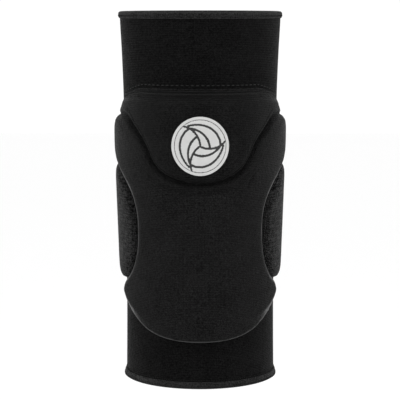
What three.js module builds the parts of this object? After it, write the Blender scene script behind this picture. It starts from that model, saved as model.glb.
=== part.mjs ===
// A sleeve-type volleyball knee pad, in the form that it has on a leg.
// Units are millimetres. +Z points up the leg and -Y forwards, out of the kneecap.
// The origin is on the axis of the leg, at the middle of the kneecap.
// Rings are turned on a plain round leg and pads are drawn as flat patterns.
// Both are then fitted to the real form of the leg.
import * as THREE from "three";
import { mergeVertices } from "three/addons/utils/BufferGeometryUtils.js";

// The sleeve and the leg in it. Heights are counted from the lower end of the sleeve.
const sleeveLength = 250;
const kneeHeight = 110;
const legHalfWidth = 50.4;
const legFront = 46;
const legBack = 46;
const knitWall = 2;

// The binding that is folded over each end of the sleeve.
const upperHemHeight = 4.6;
const lowerHemHeight = 5;
const upperHemWall = 0.7;
const lowerHemWall = 0.85;
const hemFold = 1.7;

// The pad above the kneecap. Its crease with the main pad hangs down from its two corners.
const upperPadDrop = 53.7;
const upperPadHeight = 58.8;
const upperPadWrap = 82;
const upperPadFrontThickness = 16;
const upperPadSideThickness = 2.7;

// The sewn strip that closes the pocket of the upper pad.
const seamWidth = 4;
const seamWrap = 76;
const seamThickness = 0.6;

// The main pad over the kneecap, with two wings above and a round lobe below.
const mainPadFloor = 30.9;
const mainPadFrontThickness = 13;
const mainPadSideThickness = 6.4;
const wingHeight = 31.6;
const wingWrap = 98;
const lobeWrap = 74;

// The pads at the two sides of the knee.
const sidePadHeight = 82.3;
const sidePadFrontTurn = 48.9;
const sidePadBackTurn = 105;
const sidePadFrontThickness = 10;
const sidePadUpperThickness = 6.2;
const sidePadLowerThickness = 4.5;

// The plain round embroidered badge, and how far its middle lies under the top of the upper pad.
const badgeDiameter = 38;
const badgeDrop = 32;
const badgeThickness = 0.9;

// Clearances and edges.
const seatGap = 0.4;
const grooveWidth = 1.4;
const frontEdgeRoll = 3.6;
const sideEdgeRoll = 6.6;

// Fineness of the facets.
const ringSides = 40;
const sleeveRows = 9;
const hemFoldSteps = 6;
const ribSpacing = 6.5;
const topSteps = 10;
const undersideSteps = 12;
const seamSteps = 22;
const badgeSides = 28;
const badgeRings = 3;

const degree = Math.PI / 180;
const patternRadius = legHalfWidth;

// The form of the leg at equal steps of height, from the lower end of the sleeve to the upper one.
// width is a share of legHalfWidth, front of legFront and back of legBack.
const legSections = [
  { width: 1.008, front: 1.03, back: 1.02 },
  { width: 1.0, front: 1.004, back: 1.05 },
  { width: 1.006, front: 1.033, back: 0.97 },
  { width: 1.022, front: 1.043, back: 0.95 },
  { width: 1.036, front: 1.043, back: 1.04 },
  { width: 1.08, front: 1.065, back: 1.1 },
];
const legRadii = legSections.map(
  ({ width, front, back }) => new THREE.Vector3(width * legHalfWidth, front * legFront, back * legBack),
);
const legCurve = new THREE.CatmullRomCurve3(legRadii, false, "catmullrom");

// The point at a turn round the leg, a height, and a distance out from the sleeve's face.
// The turn is in radians, and 0 in front.
function onLeg(turn, height, out) {
  const section = legCurve.getPoint(THREE.MathUtils.clamp(height / sleeveLength, 0, 1));
  const depth = Math.cos(turn) > 0 ? section.y : section.z;
  const radius = 1 / Math.hypot(Math.sin(turn) / section.x, Math.cos(turn) / depth);
  return new THREE.Vector3((radius + out) * Math.sin(turn), -(radius + out) * Math.cos(turn), height);
}

// Moves each vertex to where placeOf sends it, and joins those that meet.
// The faces that this closes up are dropped.
function reshape(geometry, placeOf) {
  const moved = new THREE.BufferGeometry();
  const places = geometry.getAttribute("position").clone();
  const point = new THREE.Vector3();
  for (let i = 0; i < places.count; i++) {
    places.setXYZ(i, ...placeOf(point.fromBufferAttribute(places, i)).toArray());
  }
  moved.setAttribute("position", places);
  moved.setIndex(geometry.index.clone());
  const joined = mergeVertices(moved, 1e-3);
  const corners = joined.index.array;
  const faces = [];
  for (let i = 0; i < corners.length; i += 3) {
    const [a, b, c] = corners.slice(i, i + 3);
    if (a !== b && b !== c && c !== a) faces.push(a, b, c);
  }
  joined.setIndex(faces);
  joined.computeVertexNormals();
  return joined;
}

// A ring round the leg, from a section that is a closed list of { out, height }.
function ringOnLeg(section) {
  const closed = [...section, section[0]];
  const profile = closed.map(({ out, height }) => new THREE.Vector2(patternRadius + out, height));
  const round = new THREE.LatheGeometry(profile, ringSides).rotateX(Math.PI / 2);
  return reshape(round, ({ x, y, z }) => onLeg(Math.atan2(x, -y), z, Math.hypot(x, y) - patternRadius));
}

// A place in the flat pattern: x runs round the leg and y up it. The turn is in degrees.
function onPattern({ turn, height }) {
  return new THREE.Vector3(turn * degree * patternRadius, height, 0);
}

// A smooth line through a table of { turn, height }.
function smoothLine(rows) {
  return new THREE.CatmullRomCurve3(rows.map(onPattern), false, "centripetal");
}

// The whole of a line that is listed from its end on the +X side to the middle of the front.
function mirrored(rows) {
  const others = rows.slice(0, -1).reverse();
  return [...rows, ...others.map(({ turn, height }) => ({ turn: -turn, height }))];
}

// Draws a closed outline in by a distance. The outline runs counterclockwise.
function drawnIn(outline, distance) {
  return outline.map((point, i) => {
    const before = outline.at(i - 1);
    const after = outline[(i + 1) % outline.length];
    const inwards = new THREE.Vector3(before.y - after.y, after.x - before.x, 0).normalize();
    return point.clone().addScaledVector(inwards, distance);
  });
}

// The distance from a point to a closed outline.
function distanceTo(outline, point) {
  const nearest = new THREE.Vector3();
  const distances = outline.map((start, i) => {
    const side = new THREE.Line3(start, outline[(i + 1) % outline.length]);
    return side.closestPointToPoint(point, true, nearest).distanceTo(point);
  });
  return Math.min(...distances);
}

// A pad that is sewn on the sleeve along its whole outline, and rises inside it like a pillow.
// Its upper and lower lines run in the same direction and meet at both ends.
// Ribs cross from one line to the other, bowed towards the middle line where there is one.
function padOnLeg({ upper, lower, middle, thicknessAt }) {
  const ribCount = Math.round(Math.max(upper.getLength(), lower.getLength()) / ribSpacing);
  const above = upper.getSpacedPoints(ribCount);
  const below = lower.getSpacedPoints(ribCount);
  const outline = drawnIn([...above, ...below.slice(1, -1).reverse()], grooveWidth / 2);
  const ribs = above.map((_, i) => {
    const top = outline[i];
    const foot = outline[(outline.length - i) % outline.length];
    const start = i === ribCount ? top : foot;
    const isEnd = i === 0 || i === ribCount;
    const bow = middle && !isEnd ? middle.getPoint(i / ribCount) : start.clone().lerp(top, 0.5);
    return new THREE.QuadraticBezierCurve3(start, bow, top);
  });
  const steps = topSteps + undersideSteps;
  const grid = new THREE.PlaneGeometry(steps, ribCount, steps, ribCount);
  return reshape(grid, ({ x, y }) => {
    const rib = ribs[Math.round(y + ribCount / 2)];
    const step = Math.round(x + steps / 2);
    if (step > topSteps) {
      const under = rib.getPoint((steps - step) / undersideSteps);
      return onLeg(under.x / patternRadius, under.y, seatGap);
    }
    const over = rib.getPoint((1 - Math.cos((Math.PI * step) / topSteps)) / 2);
    const turn = over.x / patternRadius;
    const roll = Math.min(distanceTo(outline, over) / edgeRollAt(turn), 1);
    return onLeg(turn, over.y, seatGap + thicknessAt(turn, over.y) * Math.sqrt(1 - (1 - roll) ** 2));
  });
}

// A measure that has one value in front of the leg and another at its side.
function frontToSide(frontValue, sideValue) {
  return (turn) => {
    const facing = Math.max(Math.cos(turn), 0);
    return sideValue + (frontValue - sideValue) * facing * facing;
  };
}

// How far in from its outline a pad is rounded.
const edgeRollAt = frontToSide(frontEdgeRoll, sideEdgeRoll);

const upperPadTop = sleeveLength - upperPadDrop;
const upperPadThickness = frontToSide(upperPadFrontThickness, upperPadSideThickness);

// The corner of the upper pad, and the crease below it down to the middle of the front.
// turn is a share of upperPadWrap, and drop a share of upperPadHeight down from its top.
const upperCornerRows = [
  { turn: 1, drop: 0.215 },
  { turn: 0.97, drop: 0.234 },
];
const upperCreaseRows = [
  { turn: 0.828, drop: 0.222 },
  { turn: 0.742, drop: 0.272 },
  { turn: 0.647, drop: 0.359 },
  { turn: 0.534, drop: 0.485 },
  { turn: 0.469, drop: 0.585 },
  { turn: 0.424, drop: 0.716 },
  { turn: 0.359, drop: 0.832 },
  { turn: 0.262, drop: 0.923 },
  { turn: 0.169, drop: 0.966 },
  { turn: 0, drop: 1 },
];
const upperTopRows = [
  { turn: 1, drop: 0.215 },
  { turn: 0.96, drop: 0.13 },
  { turn: 0.87, drop: 0.04 },
  { turn: 0.62, drop: 0.004 },
  { turn: 0.31, drop: 0 },
  { turn: 0, drop: 0 },
];
const atUpperPad = ({ turn, drop }) => ({
  turn: turn * upperPadWrap,
  height: upperPadTop - drop * upperPadHeight,
});

// The free end of a wing: turn is a share of wingWrap, and rise of wingHeight up from the wing's lower edge.
const wingTop = atUpperPad(upperCreaseRows[0]).height;
const wingFloor = wingTop - wingHeight;
const wingUpperRows = [
  { turn: 1, rise: 0.46 },
  { turn: 0.985, rise: 0.7 },
  { turn: 0.92, rise: 0.905 },
  { turn: 0.815, rise: 0.985 },
];
const wingLowerRows = [
  { turn: 1, rise: 0.46 },
  { turn: 0.98, rise: 0.18 },
  { turn: 0.91, rise: 0 },
];
const atWing = ({ turn, rise }) => ({
  turn: turn * wingWrap,
  height: wingFloor + rise * wingHeight,
});

// The edges of a side pad, from its upper end down. The front one is its crease with the main pad.
// turn is a share of the way from sidePadFrontTurn to sidePadBackTurn, and drop a share of sidePadHeight.
const sidePadTop = wingFloor - grooveWidth;
const sideCreaseRows = [
  { turn: 0.45, drop: 0.089 },
  { turn: 0.277, drop: 0.155 },
  { turn: 0.147, drop: 0.235 },
  { turn: 0.056, drop: 0.322 },
  { turn: 0.008, drop: 0.424 },
  { turn: 0, drop: 0.556 },
  { turn: 0.034, drop: 0.726 },
  { turn: 0.1, drop: 0.829 },
  { turn: 0.2, drop: 0.907 },
  { turn: 0.33, drop: 0.96 },
];
const sideUpperEnd = { turn: 0.73, drop: 0 };
const sideLowerEnd = { turn: 0.52, drop: 1 };
const sideBackRows = [
  { turn: 0.89, drop: 0.04 },
  { turn: 0.98, drop: 0.17 },
  { turn: 1, drop: 0.45 },
  { turn: 0.965, drop: 0.73 },
  { turn: 0.87, drop: 0.88 },
  { turn: 0.7, drop: 0.975 },
];
const atSidePad = ({ turn, drop }) => ({
  turn: sidePadFrontTurn + turn * (sidePadBackTurn - sidePadFrontTurn),
  height: sidePadTop - drop * sidePadHeight,
});

// The lobe: turn is a share of lobeWrap, and rise of the way from mainPadFloor to the lobe's corner.
const lobeTop = sidePadTop - sidePadHeight - 2 * grooveWidth;
const lobeRows = [
  { turn: 1, rise: 1 },
  { turn: 0.97, rise: 0.85 },
  { turn: 0.888, rise: 0.69 },
  { turn: 0.773, rise: 0.492 },
  { turn: 0.648, rise: 0.322 },
  { turn: 0.533, rise: 0.183 },
  { turn: 0.333, rise: 0.056 },
  { turn: 0.173, rise: 0.016 },
  { turn: 0, rise: 0 },
];
const atLobe = ({ turn, rise }) => ({
  turn: turn * lobeWrap,
  height: THREE.MathUtils.lerp(mainPadFloor, lobeTop, rise),
});

// The line towards which the main pad's ribs are bowed: turn is a share of wingWrap,
// and rise of the way from mainPadFloor to wingTop.
const middleRows = [
  { turn: 1, rise: 0.88 },
  { turn: 0.84, rise: 0.87 },
  { turn: 0.57, rise: 0.755 },
  { turn: 0.306, rise: 0.5 },
  { turn: 0.204, rise: 0.195 },
  { turn: 0.122, rise: 0.35 },
  { turn: 0, rise: 0.35 },
];
const atMiddle = ({ turn, rise }) => ({
  turn: turn * wingWrap,
  height: THREE.MathUtils.lerp(mainPadFloor, wingTop, rise),
});

// The knitted tube, open at both ends, with its ends inside the hems.
function sleeve() {
  const bottom = lowerHemWall + seatGap;
  const top = sleeveLength - upperHemWall - seatGap;
  const outside = [];
  for (let i = 0; i <= sleeveRows; i++) {
    outside.push({ out: 0, height: THREE.MathUtils.lerp(bottom, top, i / sleeveRows) });
  }
  const inside = outside.map(({ height }) => ({ out: -knitWall, height })).reverse();
  return ringOnLeg([...outside, ...inside]);
}

// A binding folded over one end of the sleeve.
// It rises from foldHeight by reach, or falls from there where reach is negative.
function hem(foldHeight, reach, wall) {
  const middle = -knitWall / 2;
  const halfSlot = knitWall / 2 + seatGap;
  const halfWidth = halfSlot + wall;
  const up = Math.sign(reach);
  const section = [
    { out: middle - halfSlot, height: foldHeight + up * wall },
    { out: middle + halfSlot, height: foldHeight + up * wall },
    { out: middle + halfSlot, height: foldHeight + reach },
    { out: middle + halfWidth, height: foldHeight + reach },
  ];
  for (let i = 0; i <= hemFoldSteps; i++) {
    const angle = (Math.PI * i) / hemFoldSteps;
    section.push({
      out: middle + halfWidth * Math.cos(angle),
      height: foldHeight + up * hemFold * (1 - Math.sin(angle)),
    });
  }
  section.push({ out: middle - halfWidth, height: foldHeight + reach });
  section.push({ out: middle - halfSlot, height: foldHeight + reach });
  return ringOnLeg(up > 0 ? section.reverse() : section);
}

// The pad above the kneecap.
function upperPad() {
  return padOnLeg({
    upper: smoothLine(mirrored(upperTopRows.map(atUpperPad))),
    lower: smoothLine(mirrored([...upperCornerRows, ...upperCreaseRows].map(atUpperPad))),
    thicknessAt: upperPadThickness,
  });
}

// The main pad. It fills the space between the upper pad, the side pads and its own free edges.
function mainPad() {
  const upperRows = [...wingUpperRows.map(atWing), ...upperCreaseRows.map(atUpperPad)];
  const creaseRows = sideCreaseRows.map(atSidePad);
  const lowerRows = [...wingLowerRows.map(atWing), ...creaseRows, ...lobeRows.map(atLobe)];
  return padOnLeg({
    upper: smoothLine(mirrored(upperRows)),
    lower: smoothLine(mirrored(lowerRows)),
    middle: smoothLine(mirrored(middleRows.map(atMiddle))),
    thicknessAt: frontToSide(mainPadFrontThickness, mainPadSideThickness),
  });
}

// A side pad. side is 1 on the +X side of the leg and -1 on the other.
function sidePad(side) {
  const front = [sideUpperEnd, ...sideCreaseRows, sideLowerEnd].map(atSidePad);
  const back = [sideUpperEnd, ...sideBackRows, sideLowerEnd].map(atSidePad);
  const [upper, lower] = (side > 0 ? [front, back] : [back, front]).map((rows) =>
    smoothLine(rows.map(({ turn, height }) => ({ turn: side * turn, height }))),
  );
  const upperThickness = frontToSide(sidePadFrontThickness, sidePadUpperThickness);
  const taper = sidePadUpperThickness - sidePadLowerThickness;
  return padOnLeg({
    upper,
    lower,
    thicknessAt: (turn, height) => upperThickness(turn) - (taper * (sidePadTop - height)) / sidePadHeight,
  });
}

// The narrow sewn strip on the sleeve, just above the upper pad.
function pocketSeam() {
  const length = 2 * seamWrap * degree * patternRadius;
  const strip = new THREE.BoxGeometry(length, seamWidth, seamThickness, seamSteps, 1, 1);
  const middleHeight = upperPadTop + seamWidth / 2;
  const middleOut = seatGap + seamThickness / 2;
  return reshape(strip, ({ x, y, z }) => onLeg(x / patternRadius, middleHeight + y, middleOut + z));
}

// The round badge, sewn on the front of the upper pad.
function badge() {
  const rings = Array.from({ length: badgeRings + 1 }, (_, i) => ((badgeDiameter / 2) * i) / badgeRings);
  const face = rings.map((radius) => new THREE.Vector2(radius, badgeThickness)).reverse();
  const back = rings.map((radius) => new THREE.Vector2(radius, 0));
  const disc = new THREE.LatheGeometry([...back, ...face], badgeSides).rotateX(Math.PI / 2);
  const middleHeight = upperPadTop - badgeDrop;
  return reshape(disc, ({ x, y, z }) => {
    const turn = x / (patternRadius + upperPadFrontThickness);
    return onLeg(turn, middleHeight + y, 2 * seatGap + upperPadThickness(turn) + z);
  });
}

const cloth = (color, roughness) => new THREE.MeshStandardMaterial({ color, roughness, metalness: 0 });
const sleeveKnit = cloth(0x161617, 0.95);
const padCover = cloth(0x1c1c1e, 0.93);
const hemBinding = cloth(0x242426, 0.9);
const badgeThread = cloth(0xe9e9e6, 0.7);

const kneePad = new THREE.Group();
const fromLowerEnd = new THREE.Group();
fromLowerEnd.position.z = -kneeHeight;
kneePad.add(fromLowerEnd);

function addPiece(name, geometry, material) {
  const piece = new THREE.Mesh(geometry, material);
  piece.name = name;
  fromLowerEnd.add(piece);
}

addPiece("sleeve", sleeve(), sleeveKnit);
addPiece("upper_hem", hem(sleeveLength, -upperHemHeight, upperHemWall), hemBinding);
addPiece("lower_hem", hem(0, lowerHemHeight, lowerHemWall), hemBinding);
addPiece("main_pad", mainPad(), padCover);
addPiece("upper_pad", upperPad(), padCover);
addPiece("side_pad_left", sidePad(-1), padCover);
addPiece("side_pad_right", sidePad(1), padCover);
addPiece("pocket_seam", pocketSeam(), hemBinding);
addPiece("badge", badge(), badgeThread);

export default kneePad;
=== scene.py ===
"""A knitted sleeve knee pad with foam pads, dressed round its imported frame. Lengths are in metres."""

import logging
import math
from dataclasses import dataclass, field
from enum import Enum
from typing import Any, Sequence

import bmesh
import bpy
import numpy as np
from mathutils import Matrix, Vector
from mathutils.bvhtree import BVHTree


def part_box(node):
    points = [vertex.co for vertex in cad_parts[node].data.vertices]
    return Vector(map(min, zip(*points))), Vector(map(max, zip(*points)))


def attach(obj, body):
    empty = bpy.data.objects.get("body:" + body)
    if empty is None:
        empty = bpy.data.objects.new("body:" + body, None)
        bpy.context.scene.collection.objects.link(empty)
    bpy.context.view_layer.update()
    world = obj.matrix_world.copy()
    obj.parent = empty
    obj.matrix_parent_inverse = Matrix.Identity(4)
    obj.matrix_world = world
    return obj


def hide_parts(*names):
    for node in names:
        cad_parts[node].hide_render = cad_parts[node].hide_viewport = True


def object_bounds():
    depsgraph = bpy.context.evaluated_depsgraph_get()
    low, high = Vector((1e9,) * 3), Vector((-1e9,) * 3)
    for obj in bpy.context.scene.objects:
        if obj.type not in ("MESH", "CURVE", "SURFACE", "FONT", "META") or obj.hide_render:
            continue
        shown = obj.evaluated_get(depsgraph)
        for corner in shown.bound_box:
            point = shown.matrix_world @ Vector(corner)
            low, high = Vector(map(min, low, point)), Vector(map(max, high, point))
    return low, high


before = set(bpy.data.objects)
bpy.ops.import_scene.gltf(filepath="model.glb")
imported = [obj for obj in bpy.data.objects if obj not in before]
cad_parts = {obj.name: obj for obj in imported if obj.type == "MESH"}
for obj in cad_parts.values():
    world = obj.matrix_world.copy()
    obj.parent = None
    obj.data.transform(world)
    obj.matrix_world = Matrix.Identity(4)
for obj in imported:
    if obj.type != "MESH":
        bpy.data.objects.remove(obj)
FRAME_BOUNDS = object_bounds()

MM = 0.001
MERGE_DISTANCE = 1e-6
BODY = "root"
# The name of the mesh attribute that holds the painted highlight along the pads' edges.
RIM_HIGHLIGHT = "rim"
log = logging.getLogger("knee_pad")


class End(Enum):
    """The two ends of the sleeve."""

    UPPER = "upper"
    LOWER = "lower"


def ramp(values: np.ndarray, start: Any, width: Any) -> np.ndarray:
    """Gives shares that rise from 0 at the start to 1 where the width is passed."""
    return np.clip((values - start) / width, 0, 1)


# Shader maths


class Wire:
    """A node's output, on which Python's operators add Math nodes."""

    def __init__(self, nodes: "NodeMaker", socket: bpy.types.NodeSocket) -> None:
        """Wraps one output socket.

        Args:
            nodes: the maker that adds nodes to the socket's tree.
            socket: the socket that is wrapped.
        """
        self.nodes = nodes
        self.socket = socket

    def _math(self, operation: str, *values: Any) -> "Wire":
        """Adds one Math node.

        Args:
            operation: the node's operation.
            values: its inputs, as numbers or Wires.

        Returns:
            The node's output.
        """
        return self.nodes.add("ShaderNodeMath", {"operation": operation}, list(values))

    def __add__(self, other: Any) -> "Wire":
        """Adds two values."""
        return self._math("ADD", self, other)

    def __radd__(self, other: Any) -> "Wire":
        """Adds a number in front."""
        return self._math("ADD", other, self)

    def __sub__(self, other: Any) -> "Wire":
        """Subtracts a value."""
        return self._math("SUBTRACT", self, other)

    def __rsub__(self, other: Any) -> "Wire":
        """Subtracts this from a number."""
        return self._math("SUBTRACT", other, self)

    def __mul__(self, other: Any) -> "Wire":
        """Multiplies two values."""
        return self._math("MULTIPLY", self, other)

    def __rmul__(self, other: Any) -> "Wire":
        """Multiplies by a number in front."""
        return self._math("MULTIPLY", other, self)

    def __truediv__(self, other: Any) -> "Wire":
        """Divides by a value."""
        return self._math("DIVIDE", self, other)

    def __abs__(self) -> "Wire":
        """Gives the size without the sign."""
        return self._math("ABSOLUTE", self)

    def wave(self) -> "Wire":
        """Gives the sine."""
        return self._math("SINE", self)

    def fraction(self) -> "Wire":
        """Gives what is left above the whole number."""
        return self._math("FRACT", self)

    def turn_of(self, other: "Wire") -> "Wire":
        """Gives the angle of which this is the rise and the other the run."""
        return self._math("ARCTAN2", self, other)


class NodeMaker:
    """Adds the nodes of one tree."""

    MIX_SHARE, MIX_LOW, MIX_HIGH = 0, 6, 7
    MIX_COLOUR = 2

    def __init__(self, tree: bpy.types.NodeTree) -> None:
        """Keeps the tree that the nodes go into."""
        self.tree = tree

    def add(self, kind: str, settings: dict[str, Any], inputs: Any, output: Any = 0) -> Wire:
        """Adds a node.

        Args:
            kind: the node's type.
            settings: the properties of the node, which are set first.
            inputs: a list, or a dict by the socket's name or number, of numbers, colours or Wires.
            output: the name or number of the output that is wanted.

        Returns:
            That output.
        """
        node = self.tree.nodes.new(kind)
        for name, value in settings.items():
            setattr(node, name, value)
        named = inputs.items() if isinstance(inputs, dict) else enumerate(inputs)
        for key, value in named:
            if isinstance(value, Wire):
                self.tree.links.new(value.socket, node.inputs[key])
            else:
                node.inputs[key].default_value = value
        return Wire(self, node.outputs[output] if node.outputs else None)

    def mix(self, share: Any, low: Any, high: Any) -> Wire:
        """Mixes two colours.

        Args:
            share: how much of the second colour there is, from 0 to 1.
            low: the first colour, as four numbers or a Wire.
            high: the second colour.

        Returns:
            The mixed colour.
        """
        settings = {"data_type": "RGBA", "clamp_factor": True}
        inputs = {self.MIX_SHARE: share, self.MIX_LOW: low, self.MIX_HIGH: high}
        return self.add("ShaderNodeMix", settings, inputs, self.MIX_COLOUR)

    def noise(self, place: Wire, scale: float, detail: float = 2.0) -> Wire:
        """Gives smooth noise from 0 to 1.

        Args:
            place: the point at which it is read.
            scale: how many lumps there are in a metre.
            detail: how many finer layers it has.

        Returns:
            The noise.
        """
        inputs = {"Vector": place, "Scale": scale, "Detail": detail}
        return self.add("ShaderNodeTexNoise", {"noise_dimensions": "3D"}, inputs)

    def bump(self, height: Wire, strength: float, distance: float) -> Wire:
        """Gives the normal of a surface with a relief.

        Args:
            height: the relief.
            strength: how strongly it shows.
            distance: the real height of a relief of 1, in metres.

        Returns:
            The normal.
        """
        inputs = {"Strength": strength, "Distance": distance, "Height": height}
        return self.add("ShaderNodeBump", {}, inputs)

    def end_geometry(self, geometry: Wire, material: bpy.types.Material, name: str) -> None:
        """Ends a geometry tree with real and smooth faces of one material.

        Args:
            geometry: what the tree makes.
            material: its material.
            name: the name of the tree's output.
        """
        real = self.add("GeometryNodeRealizeInstances", {}, {"Geometry": geometry})
        smooth = self.add("GeometryNodeSetShadeSmooth", {}, {"Geometry": real})
        inputs = {"Geometry": smooth, "Material": material}
        self.add("NodeGroupOutput", {}, {name: self.add("GeometryNodeSetMaterial", {}, inputs)})

    def split(self, place: Wire) -> list[Wire]:
        """Splits a point in its three coordinates."""
        node = self.add("ShaderNodeSeparateXYZ", {}, [place]).socket.node
        return [Wire(self, output) for output in node.outputs]


def grey(value: float, tint: float = 1.0) -> tuple[float, float, float, float]:
    """Gives a grey.

    Args:
        value: its red and green.
        tint: how many times as strong its blue is.

    Returns:
        The colour with its alpha.
    """
    return (value, value, value * tint, 1.0)


def start_material(name: str) -> tuple[bpy.types.Material, NodeMaker, Wire]:
    """Starts a material.

    Args:
        name: its name.

    Returns:
        The material, the maker of its nodes, and the point of the piece that is shaded.
    """
    material = bpy.data.materials.new(name)
    material.use_nodes = True
    nodes = NodeMaker(material.node_tree)
    return material, nodes, nodes.add("ShaderNodeTexCoord", {}, {}, "Object")


def set_shader(material: bpy.types.Material, settings: dict[str, Any]) -> None:
    """Sets the sockets of a material's shader.

    Args:
        material: the material.
        settings: a number, a colour or a Wire for each socket that is named.
    """
    shader = material.node_tree.nodes["Principled BSDF"]
    for name, value in settings.items():
        if isinstance(value, Wire):
            material.node_tree.links.new(value.socket, shader.inputs[name])
        else:
            shader.inputs[name].default_value = value


# Finishes


@dataclass(frozen=True)
class KnitFinish:
    """Black knitted cloth. Wales run up the leg and courses round it.

    Attributes:
        name: the material's name.
        tone: the yarn's grey.
        wales_round: how many wales there are round the leg.
        course: the height of a course.
        relief: how high a stitch stands.
        fuzz_relief: how high the fuzz stands, in heights of a stitch.
        slub_relief: how high the thick places of the yarn stand.
        lumps: how many lumps of fuzz there are in a metre.
        slubs: how many thick places there are in a metre.
        clouds: how many uneven patches there are in a metre.
        darkest: the tone in the deepest gaps, as a share of the yarn's.
        palest: the tone of the best lit fibres, likewise.
        grain: the share of the palest tone that an even cloth has.
        stitch_shading: how much of the palest tone the stitches add: painted shade in the gaps between
            the loops, painted light on their tops.
        fuzz_grain: how much the fuzz adds or takes away.
        cloud_grain: how much the uneven patches do.
        side_grain_and_sheen: how much the open knit does, strongest where the cloth faces sideways:
            partly the knit's grain, partly painted glints of the nap's sheen.
        open_slubs: how much finer the open knit is than the slubs.
        open_shape: how an open place is drawn out from front to back.
        rim_highlight_tone: the grey of the painted highlight at a pad's edge, in place of the nap's
            sheen, or 0 without one.
        rim_least: how much of that grey is there without any fuzz.
        rim_fuzz: how much more of it the fuzz adds.
        roughness: the roughness in the middle.
        roughness_spread: how much the fuzz changes it.
        sheen: how strong the nap's sheen is.
        sheen_spread: how wide it is.
        sheen_tone: its grey.
        specular: how strong the gloss is.
    """

    STITCH_SLOPE = 1.3

    name: str
    tone: float
    wales_round: int = 210
    course: float = 1.15 * MM
    relief: float = 0.20 * MM
    fuzz_relief: float = 1.2
    slub_relief: float = 0.45 * MM
    lumps: float = 1250.0
    slubs: float = 420.0
    clouds: float = 60.0
    darkest: float = 0.05
    palest: float = 2.6
    grain: float = 0.16
    stitch_shading: float = 0.48
    fuzz_grain: float = 1.68
    cloud_grain: float = 0.24
    side_grain_and_sheen: float = 1.6
    open_slubs: float = 1.6
    open_shape: tuple[float, float, float] = (1.0, 0.45, 1.0)
    rim_highlight_tone: float = 0.0
    rim_least: float = 0.4
    rim_fuzz: float = 0.9
    roughness: float = 0.5
    roughness_spread: float = 0.9
    sheen: float = 0.05
    sheen_spread: float = 0.16
    sheen_tone: float = 0.93
    specular: float = 0.02

    def make(self) -> bpy.types.Material:
        """Makes the material.

        Returns:
            The material, with its nodes.
        """
        material, nodes, place = start_material(self.name)
        x, y, z = nodes.split(place)
        wale = x.turn_of(0 - y) * (self.wales_round / math.tau)
        stitches = self._stitches(wale.fraction() - 0.5, z / self.course)
        fuzz = nodes.noise(place, self.lumps)
        slub = nodes.noise(place, self.slubs, detail=1.0)
        height = stitches * self.relief + fuzz * (self.relief * self.fuzz_relief)
        height = height + slub * self.slub_relief
        # The speckle grows where the cloth faces sideways: partly the knit's grain, partly painted
        # glints of the nap's sheen.
        sideways = x * x / (x * x + y * y)
        open_knit_and_sheen = self._open_knit(nodes, place) * sideways * sideways
        settings = {
            "Base Color": self._colour(nodes, place, stitches, fuzz, open_knit_and_sheen),
            "Roughness": (fuzz - 0.5) * self.roughness_spread + self.roughness,
            "Normal": nodes.bump(height, strength=1.0, distance=1.0),
            "Sheen Weight": self.sheen,
            "Sheen Roughness": self.sheen_spread,
            "Sheen Tint": grey(self.sheen_tone),
            "Specular IOR Level": self.specular,
        }
        set_shader(material, settings)
        return material

    def _stitches(self, across: Wire, course: Wire) -> Wire:
        """Gives the height of the knitted stitches.

        Args:
            across: the place across a wale, from -0.5 to 0.5.
            course: the place up the leg, in courses.

        Returns:
            The height, from 0 to 1.
        """
        side = abs(across)
        leg = (side * math.tau).wave()
        return leg * (((course + side * self.STITCH_SLOPE) * math.tau).wave() * 0.5 + 0.5)

    def _open_knit(self, nodes: NodeMaker, place: Wire) -> Wire:
        """Gives the open and the close places of the knit, which show at the sides.

        Args:
            nodes: the maker of the material's nodes.
            place: the point that is shaded.

        Returns:
            How close the knit is, with 0 in the middle.
        """
        settings = {"operation": "MULTIPLY"}
        wide = nodes.add("ShaderNodeVectorMath", settings, [place, self.open_shape])
        return nodes.noise(wide, self.slubs * self.open_slubs, detail=1.5) - 0.5

    def _colour(
        self, nodes: NodeMaker, place: Wire, stitches: Wire, fuzz: Wire, open_knit_and_sheen: Wire
    ) -> Wire:
        """Gives the colour of the cloth.

        Args:
            nodes: the maker of the material's nodes.
            place: the point that is shaded.
            stitches: the height of the stitches.
            fuzz: the height of the fuzz.
            open_knit_and_sheen: how close the knit is at the sides, which is partly grain and partly
                painted glints of sheen.

        Returns:
            The colour.
        """
        cloudy = nodes.noise(place, self.clouds)
        # The stitches' relief is painted into the colour: painted shade in the gaps, painted light on
        # the loops.
        share = stitches * self.stitch_shading + (fuzz - 0.5) * self.fuzz_grain + self.grain
        share = share + (cloudy - 0.5) * self.cloud_grain + open_knit_and_sheen * self.side_grain_and_sheen
        colour = nodes.mix(share, grey(self.tone * self.darkest), grey(self.tone * self.palest))
        if self.rim_highlight_tone:
            # The painted highlight along a pad's edge, speckled by the fuzz.
            rim = nodes.add("ShaderNodeAttribute", {"attribute_name": RIM_HIGHLIGHT}, {}, "Fac")
            share = rim * (fuzz * self.rim_fuzz + self.rim_least)
            colour = nodes.mix(share, colour, grey(self.rim_highlight_tone))
        return colour


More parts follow.
